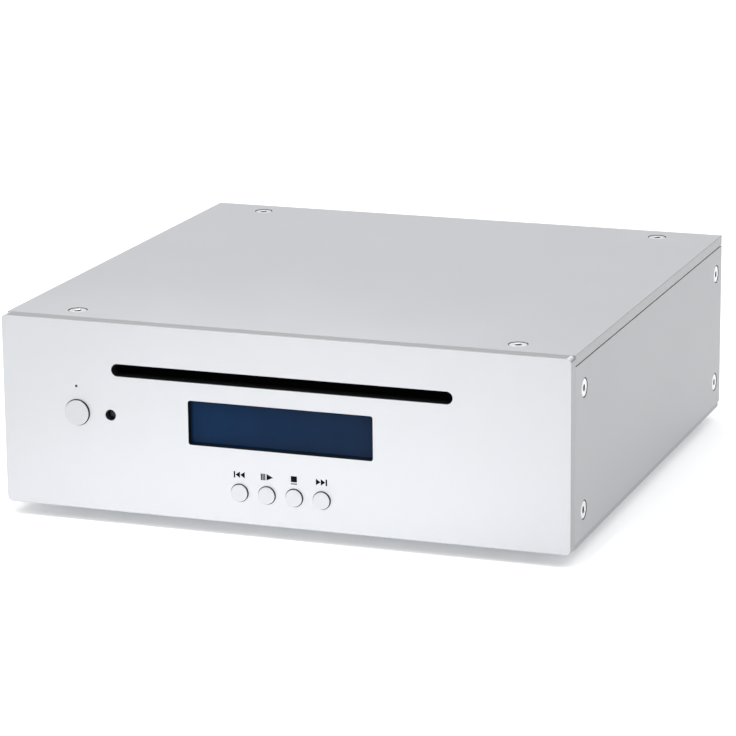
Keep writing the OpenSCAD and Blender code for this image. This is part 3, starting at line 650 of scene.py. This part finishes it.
def screws():
    length = 8 * mm
    joined("cover_screw_set", [sunkScrew(Lay((centre(b).x, centre(b).y, b[1].z), xAxis, yAxis, -zAxis),
                                         length)
                               for b in coverScrews], ["stainless", "shade"], "case", "cover_screws")
    sides = []
    for b in sideScrews:
        way = 1 if centre(b).x > 0 else -1
        outer = b[1].x if way > 0 else b[0].x
        sides.append(sunkScrew(Lay((outer, centre(b).y, centre(b).z), yAxis, zAxis, xAxis * -way), length))
    joined("side_screw_set", sides, ["stainless", "shade"], "case", "side_screws")
    frames = [sunkScrew(Lay((centre(b).x, centre(b).y, b[0].z), xAxis, yAxis, zAxis), b[1].z - b[0].z)
              for b in baseScrews]
    frames += [panScrew(Lay((centre(b).x, b[1].y - 1.9 * mm, centre(b).z), xAxis, zAxis, -yAxis),
                        b[1].y - b[0].y - 1.9 * mm) for b in endScrews]
    joined("frame_screw_set", frames, ["stainless", "shade"], "case", "frame_screws")
    feet = [panScrew(Lay((centre(b).x, centre(b).y, b[0].z + 1.9 * mm), xAxis, yAxis, zAxis),
                     b[1].z - b[0].z - 1.9 * mm)
            for b in groups("foot_screws")]
    joined("foot_screw_set", feet, ["stainless", "shade"], "case", "foot_screws")


def key(node, body):
    start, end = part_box(node)
    radius = capRadius(node)
    out = frontY - start.y
    c = middle(node)
    lay = Lay((c.x, frontY, c.z), xAxis, zAxis, yAxis)
    edge = keyShape["edge"]
    rows = [(0.15 * radius, -out + 0.03 * mm), (0.6 * radius, -out + 0.02 * mm), (radius - edge, -out)]
    rows += [(radius - edge + edge * math.sin(math.pi / 2 * i / 4),
              -out + edge * (1 - math.cos(math.pi / 2 * i / 4)))
             for i in range(1, 5)]
    collar = radius + keyShape["collarLip"]
    rows += [(radius, 5.0 * mm), (collar - 0.1 * mm, 5.0 * mm), (collar, 5.1 * mm), (collar, 5.9 * mm),
             (collar - 0.1 * mm, 6.0 * mm), (1.5 * mm, 6.0 * mm), (1.5 * mm, end.y - frontY - 0.15 * mm),
             (1.35 * mm, end.y - frontY)]
    # the cap's face and rounded edge take the key finish, its side walls the near-black painted shade
    turned(node + "_cap", lay, rows, ["key", "keyWallShade"], body, node, 64,
           materialRows=[0] * 6 + [1] * (len(rows) - 7))


def keys():
    key("power_button", "power_key")
    for node, body in zip(keyNodes, ("previous_key", "play_key", "stop_key", "next_key")):
        key(node, body)


symbols = {"height": 2.3 * mm, "rise": 6.4 * mm, "ink": 0.02 * mm}


def inkShapes(name, shapes):
    # each shape is a list of points on the panel's face
    bm = bmesh.new()
    lay = panelLay()
    for points in shapes:
        face = [bm.verts.new(lay.at(u, v, -symbols["ink"])) for u, v in points]
        back = [bm.verts.new(lay.at(u, v, 0)) for u, v in points]
        bm.faces.new(face)
        bm.faces.new(back[::-1])
        for i in range(len(points)):
            j = (i + 1) % len(points)
            bm.faces.new((face[i], back[i], back[j], face[j]))
    finished(name, meshFrom(bm, name), "ink", "case", None)


def printedSymbols():
    h = symbols["height"]

    def box(u0, u1, v0, v1):
        return [(u0, v0), (u1, v0), (u1, v1), (u0, v1)]

    def arrow(u, v, way, length):
        # a triangle whose flat side stands at u
        return [(u, v - h / 2), (u, v + h / 2), (u + way * length, v)]

    for node in keyNodes:
        c = middle(node)
        u, v = c.x - 0.05 * mm, c.z + symbols["rise"]
        if node == "previous_button":
            shapes = [box(u - 2.05 * mm, u - 1.5 * mm, v - h / 2, v + h / 2),
                      arrow(u + 0.25 * mm, v, -1, 1.65 * mm),
                      arrow(u + 2.0 * mm, v, -1, 1.65 * mm)]
        elif node == "play_button":
            shapes = [box(u - 2.1 * mm + i * 0.62 * mm, u - 2.1 * mm + i * 0.62 * mm + 0.44 * mm, v - h / 2,
                          v + h / 2)
                      for i in range(3)] + [arrow(u, v, 1, 2.4 * mm)]
        elif node == "stop_button":
            shapes = [box(u - 1.1 * mm, u + 1.1 * mm, v - h / 2 + 0.3 * mm, v + h / 2 + 0.1 * mm),
                      box(u - 1.1 * mm, u + 1.1 * mm, v - h / 2 - 0.5 * mm, v - h / 2 - 0.15 * mm)]
        else:
            shapes = [arrow(u - 2.0 * mm, v, 1, 1.65 * mm), arrow(u - 0.25 * mm, v, 1, 1.65 * mm),
                      box(u + 1.5 * mm, u + 2.05 * mm, v - h / 2, v + h / 2)]
        inkShapes(node.replace("button", "symbol"), shapes)


def frontDetails():
    start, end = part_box("display_window")
    c = middle("display_window")
    slab("display_pane", Lay((c.x, start.y, c.z), xAxis, zAxis, yAxis), end.x - start.x, end.z - start.z,
         1.3 * mm,
         end.y - start.y, 0.2 * mm, "pane", "case", "display_window")
    start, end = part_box("ir_window")
    c = middle("ir_window")
    radius = 1.8 * mm
    dome = [(radius * math.sin(math.pi / 2 * i / 8),
             0.9 * mm * (1 - math.cos(math.pi / 2 * i / 8))) for i in range(1, 9)]
    long = end.y - start.y
    turned("ir_lens", Lay((c.x, start.y, c.z), xAxis, zAxis, yAxis),
           [(0.05 * mm, 0)] + dome + [(radius, long - 0.8 * mm), (radius + 1.0 * mm, long - 0.8 * mm),
                                      (radius + 1.0 * mm, long)],
           "infrared", "case", "ir_window")
    start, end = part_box("power_led")
    c = middle("power_led")
    long = end.y - start.y
    turned("lamp_pipe", Lay((c.x, start.y, c.z), xAxis, zAxis, yAxis),
           [(0.08 * mm, 0), (0.28 * mm, 0.04 * mm), (0.4 * mm, 0.16 * mm), (0.4 * mm, 4.6 * mm),
            (1.3 * mm, 5.1 * mm),
            (1.5 * mm, 5.6 * mm), (1.5 * mm, long)], "lamp", "case", "power_led", 24)
    start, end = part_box("dust_felts")
    lay = Lay((0, 0, 0), yAxis, zAxis, xAxis)
    mid = (start.z + end.z) / 2
    half = (end.z - start.z) / 2
    lips = []
    for way in (-1, 1):
        # each strip ends in a soft lip that nearly meets the other across the slot
        points = [(start.y, mid + way * half), (end.y, mid + way * half), (end.y, mid + way * 2.0 * mm),
                  (end.y - 0.2 * mm, mid + way * 0.35 * mm), (start.y + 0.55 * mm, mid + way * 0.12 * mm),
                  (start.y + 0.2 * mm, mid + way * 0.4 * mm), (start.y, mid + way * 2.0 * mm)]
        bm = bmesh.new()
        ends = [[bm.verts.new(lay.at(u, v, w)) for u, v in points] for w in (start.x, end.x)]
        for i in range(len(points)):
            j = (i + 1) % len(points)
            bm.faces.new((ends[0][i], ends[0][j], ends[1][j], ends[1][i]))
        bm.faces.new(ends[0])
        bm.faces.new(ends[1][::-1])
        lips.append(meshFrom(bm, "lip"))
    joined("slot_lips", lips, "felt", "case", "dust_felts")


def rearPanel():
    start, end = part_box("rear_panel")
    thickness = end.y - start.y
    holes = []
    for node, radius in (("left_audio_socket", 5.1), ("right_audio_socket", 5.1), ("coaxial_socket", 5.1)):
        holes.append((roundLoop(middle(node).x, 23 * mm, radius * mm), through(0.12 * mm, thickness)))
    holes.append((roundLoop(middle("power_inlet").x, 23 * mm, 5.6 * mm), through(0.12 * mm, thickness)))
    holes.append((roundedLoop(middle("optical_socket").x, 23 * mm, 10.4 * mm, 10.4 * mm, 0.4 * mm, 3),
                  through(0.12 * mm, thickness)))
    for i in range(-6, 7):
        holes.append((roundedLoop(i * 9 * mm, 51 * mm, 3 * mm, 17 * mm, 1.5 * mm, 8),
                      through(0.15 * mm, thickness)))
    holes += [(roundLoop(centre(b).x, centre(b).z, case["screwHole"], 32), through(0.1 * mm, thickness))
              for b in endScrews if centre(b).y > 0]
    plate("rear_sheet", Lay((0, end.y, 0), xAxis, zAxis, -yAxis), thickness,
          roundedLoop(0, (start.z + end.z) / 2, end.x - start.x, end.z - start.z, 0.8 * mm, 4), 0.15 * mm,
          holes,
          "coated", "case", "rear_panel")


def phonoSocket(node, tint):
    start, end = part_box(node)
    c = middle(node)
    z = 23 * mm
    wall = high("rear_panel").y
    lay = Lay((c.x, end.y, z), xAxis, zAxis, -yAxis)
    long = end.y - wall
    r = 4.15 * mm
    # gold shell with a rolled lip, a coloured collar at the panel and a contact down the middle
    turned(node + "_shell", lay,
           [(3.45 * mm, 0.15 * mm), (3.6 * mm, 0), (r - 0.2 * mm, 0), (r, 0.2 * mm), (r, long - 0.8 * mm),
            (4.95 * mm, long - 0.8 * mm), (4.95 * mm, long + 3.9 * mm), (3.45 * mm, long + 3.9 * mm)],
           "gold", "case", node, closed=False)
    turned(node + "_insulator", lay.moved(0, 0, 0.9 * mm),
           [(1.65 * mm, 0.25 * mm), (1.85 * mm, 0), (3.2 * mm, 0), (3.42 * mm, 0.2 * mm),
            (3.42 * mm, long + 2.8 * mm),
            (1.65 * mm, long + 2.8 * mm)], tint, "case", None, closed=False)
    turned(node + "_contact", lay.moved(0, 0, 1.3 * mm),
           [(1.25 * mm, 0), (1.6 * mm, 0), (1.6 * mm, long + 2.4 * mm), (1.25 * mm, long + 2.4 * mm)],
           "gold", "case", None, 32, closed=False)
    turned(node + "_collar", lay.moved(0, 0, long - 1.0 * mm),
           [(r + 0.03 * mm, 0.1 * mm), (4.2 * mm, 0), (4.75 * mm, 0), (4.92 * mm, 0.18 * mm),
            (4.92 * mm, 0.2 * mm),
            (r + 0.03 * mm, 0.2 * mm)], tint, "case", None, closed=False)
    bodyBox(node, start, Vector((end.x, low("rear_panel").y - 0.05 * mm, end.z)))


def bodyBox(node, start, end):
    # moulded block on the board, with a step
    lay = Lay((start.x / 2 + end.x / 2, end.y, (start.z + end.z) / 2), xAxis, zAxis, -yAxis)
    slab(node + "_block", lay, end.x - start.x, end.z - start.z, 0.5 * mm, end.y - start.y - 1.2 * mm,
         0.3 * mm,
         "black", "case", None)
    slab(node + "_step", lay.moved(0, -0.6 * mm, end.y - start.y - 1.2 * mm), end.x - start.x - 1.6 * mm,
         end.z - start.z - 1.2 * mm, 0.4 * mm, 1.2 * mm, 0.2 * mm, "black", "case", None)


def sockets():
    phonoSocket("left_audio_socket", "white")
    phonoSocket("right_audio_socket", "red")
    phonoSocket("coaxial_socket", "black")
    z = 23 * mm
    front = low("rear_panel").y
    start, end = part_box("optical_socket")
    c = middle("optical_socket")
    lay = Lay((c.x, end.y, z), xAxis, zAxis, -yAxis)
    nose = 10 * mm
    hollow = 6.4 * mm
    plate("optical_nose", lay, end.y - front + 1.9 * mm, roundedLoop(0, 0, nose, nose, 0.5 * mm, 4),
          0.25 * mm,
          [(roundedLoop(0, 0, hollow, hollow, 0.6 * mm, 4),
            [*arc(0.25 * mm, 3), (0, end.y - front + 1.9 * mm)])],
          "black", "case", "optical_socket")
    # sprung shutter across the mouth
    slab("optical_shutter", lay.moved(0, 0, 7.4 * mm), hollow - 0.1 * mm, hollow - 0.1 * mm, 0.3 * mm,
         0.5 * mm,
         0.1 * mm, "black", "case", None)
    bodyBox("optical", start, Vector((end.x, front - 0.05 * mm, end.z)))
    start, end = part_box("power_inlet")
    c = middle("power_inlet")
    lay = Lay((c.x, end.y, z), xAxis, zAxis, -yAxis)
    deep = 9 * mm
    turned("inlet_barrel", lay,
           [(2.85 * mm, deep), (2.85 * mm, 0.3 * mm), (3.1 * mm, 0), (5.1 * mm, 0), (5.4 * mm, 0.3 * mm),
            (5.4 * mm, end.y - front + 1.9 * mm), (3.2 * mm, end.y - front + 1.9 * mm)],
           "black", "case", "power_inlet", closed=False)
    turned("inlet_pin", lay.moved(0, 0, 1.2 * mm),
           [(0.3 * mm, 0), (0.7 * mm, 0.1 * mm), (1.05 * mm, 0.6 * mm), (1.05 * mm, 8.5 * mm)],
           "stainless", "case", None, 24)
    bodyBox("inlet", start, Vector((end.x, front - 0.05 * mm, end.z)))
    print("rear sockets made")


def baseAndFeet():
    start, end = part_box("base_plate")
    thickness = end.z - start.z
    feet = groups("rubber_feet")
    extra = [(roundLoop(centre(b).x, centre(b).y, 1.5 * mm, 32), through(0.05 * mm, thickness)) for b in feet]
    for i in range(-4, 5):
        for y in (84, 118):
            extra.append((roundedLoop(i * 9 * mm, frontY + (y + 11) * mm, 3 * mm, 25 * mm, 1.5 * mm, 8),
                          through(0.15 * mm, thickness)))
    screwsAt = [(centre(b).x, centre(b).y) for b in baseScrews]
    holes = [(roundLoop(u, v, case["screwHole"], 32),
              [(1.55 * mm, 0), (1.5 * mm, 0.05 * mm), (0, 1.7 * mm), (0, thickness)]) for u, v in screwsAt]
    plate("base_sheet", Lay((0, 0, start.z), xAxis, yAxis, zAxis), thickness,
          roundedLoop((start.x + end.x) / 2, (start.y + end.y) / 2, end.x - start.x, end.y - start.y,
                      0.4 * mm, 3),
          0.2 * mm, holes + extra, "zinc", "case", "base_plate", "baseEdge")
    footMeshes = []
    for b in feet:
        tall = b[1].z - b[0].z
        r = (b[1].x - b[0].x) / 2
        # soft tread ring below, a groove round the side and a recess for the screw
        rows = [(1.65 * mm, 2.2 * mm), (3.4 * mm, 2.2 * mm), (3.4 * mm, 0.35 * mm), (3.7 * mm, 0.08 * mm),
                (4.4 * mm, 0), (5.6 * mm, 0), (5.9 * mm, 0.3 * mm), (6.3 * mm, 0.3 * mm), (6.6 * mm, 0),
                (r - 0.9 * mm, 0), (r - 0.25 * mm, 0.2 * mm), (r - 0.05 * mm, 0.8 * mm),
                (r - 0.02 * mm, 1.6 * mm),
                (r - 0.3 * mm, 1.8 * mm), (r - 0.3 * mm, 2.1 * mm), (r, 2.3 * mm), (r, tall - 0.3 * mm),
                (r - 0.3 * mm, tall), (1.65 * mm, tall)]
        footMeshes.append(turned("foot", Lay((centre(b).x, centre(b).y, b[0].z), xAxis, yAxis, zAxis), rows,
                                 None, None,
                                 count=64, closed=False))
    joined("foot_set", footMeshes, "rubber", "case", "rubber_feet")


slotFinish = {
    "silver_aluminium": "blasted", "key_aluminium": "key", "stainless_screw": "stainless",
    "zinc_steel": "zinc",
    "black_steel": "coated", "window_pane": "pane", "black_plastic": "black", "ivory_plastic": "ivory",
    "white_plastic": "white", "board_green": "board", "felt": "felt", "rubber_black": "rubber",
    "brass_plated": "gold", "lamp_clear": "lamp", "ribbon_grey": "ribbon", "motor_steel": "motor",
}


def dressNodes():
    for part in frame["record"]["subparts"]:
        node = frame["nodes"][part["node"]]
        finish = finishes[slotFinish[part["material_slot"]]]
        for place in node.material_slots:
            place.material = finish
        if not node.material_slots:
            node.data.materials.append(finish)


studio = {"floor": (0.93, 0.935, 0.945), "sky": (1.0, 1.0, 1.0), "skyPower": 0.50, "glow": 0.25}


def areaLight(name, at, aim, size, power, tall=None):
    data = bpy.data.lights.new(name, "AREA")
    data.energy = power
    data.size = size
    if tall:
        data.shape = "RECTANGLE"
        data.size_y = tall
    lamp = bpy.data.objects.new(name, data)
    scene.collection.objects.link(lamp)
    lamp.location = at
    lamp.rotation_euler = (Vector(aim) - Vector(at)).to_track_quat("-Z", "Y").to_euler()
    return lamp


lamps = [
    # name, place, aim, width, power, height
    ("key light", (-1.2, -2.6, 0.9), (0, 0, 0.03), 2.4, 9, 1.2),
    ("left light", (-2.6, -0.8, 1.2), (0, 0, 0.04), 2.0, 12, 1.4),
    ("fill light", (1.9, -1.7, 1.6), (0.1, 0, 0), 1.6, 14, 1.6),
    ("top light", (0.0, 0.0, 2.2), (0, 0, 0), 3.2, 40, 3.2),
    ("back light", (-0.9, 2.4, 1.2), (0, 0, 0.05), 2.4, 6, 1.2),
]


def stageAndLight():
    bpy.ops.mesh.primitive_plane_add(size=30, location=(0, 0, 0))
    floor = bpy.context.object
    floor.name = "floor"
    # the floor is a lit table: it glows a little, which keeps the shadow soft
    finish = Finish("studio_floor", Roughness=0.9, Specular_IOR_Level=0.1, Emission_Color=studio["floor"],
                    Emission_Strength=studio["glow"])
    soft = finish.noise(0.4, 2)
    finish.on(Base_Color=finish.mix(finish.range(soft, 0.0, 1.0), studio["floor"],
                                    [c * 0.995 for c in studio["floor"]]))
    floor.data.materials.append(finish.material)
    world = bpy.data.worlds.new("studio")
    scene.world = world
    world.use_nodes = True
    background = world.node_tree.nodes["Background"]
    background.inputs[0].default_value = (*studio["sky"], 1)
    background.inputs[1].default_value = studio["skyPower"]
    for lamp in lamps:
        areaLight(*lamp)
    # a pool of light on the floor just in front, which the face mirrors low down
    data = bpy.data.lights.new("floor light", "SPOT")
    data.energy, data.spot_size, data.spot_blend, data.shadow_soft_size = 130, math.radians(8.5), 1.0, 0.05
    spot = bpy.data.objects.new("floor light", data)
    scene.collection.objects.link(spot)
    spot.location = (-0.02, -0.42, 2.2)
    spot.rotation_euler = (Vector((-0.015, frontY - 0.07, 0)) - spot.location).to_track_quat("-Z",
                                                                                             "Y").to_euler()


def camera():
    # one long lens, a little above the player and to its right
    view = {"at": (0.408, -1.031 + frontY, 0.342 + low("front_panel").z), "yaw": 20.03, "pitch": 14.47,
            "roll": -0.54,
            "lens": 165.9}
    yaw, pitch, roll = (math.radians(view[k]) for k in ("yaw", "pitch", "roll"))
    forward = Vector((-math.sin(yaw) * math.cos(pitch), math.cos(yaw) * math.cos(pitch), -math.sin(pitch)))
    right = Vector((math.cos(yaw), math.sin(yaw), 0))
    up = right.cross(forward)
    rolledRight = right * math.cos(roll) + up * math.sin(roll)
    rolledUp = up * math.cos(roll) - right * math.sin(roll)
    data = bpy.data.cameras.new("camera")
    data.lens = view["lens"]
    data.sensor_width = 36
    data.clip_end = 50
    eye = bpy.data.objects.new("camera", data)
    scene.collection.objects.link(eye)
    turn = Matrix((rolledRight, rolledUp, -forward)).transposed().to_4x4()
    eye.matrix_world = Matrix.Translation(view["at"]) @ turn
    scene.camera = eye


dressNodes()
frontPanel()
panels()
screws()
print("case and screws made")
keys()
printedSymbols()
frontDetails()
print("front made")
rearPanel()
sockets()
baseAndFeet()
print("rear and base made")
stageAndLight()
camera()
scene.view_settings.view_transform = "Standard"
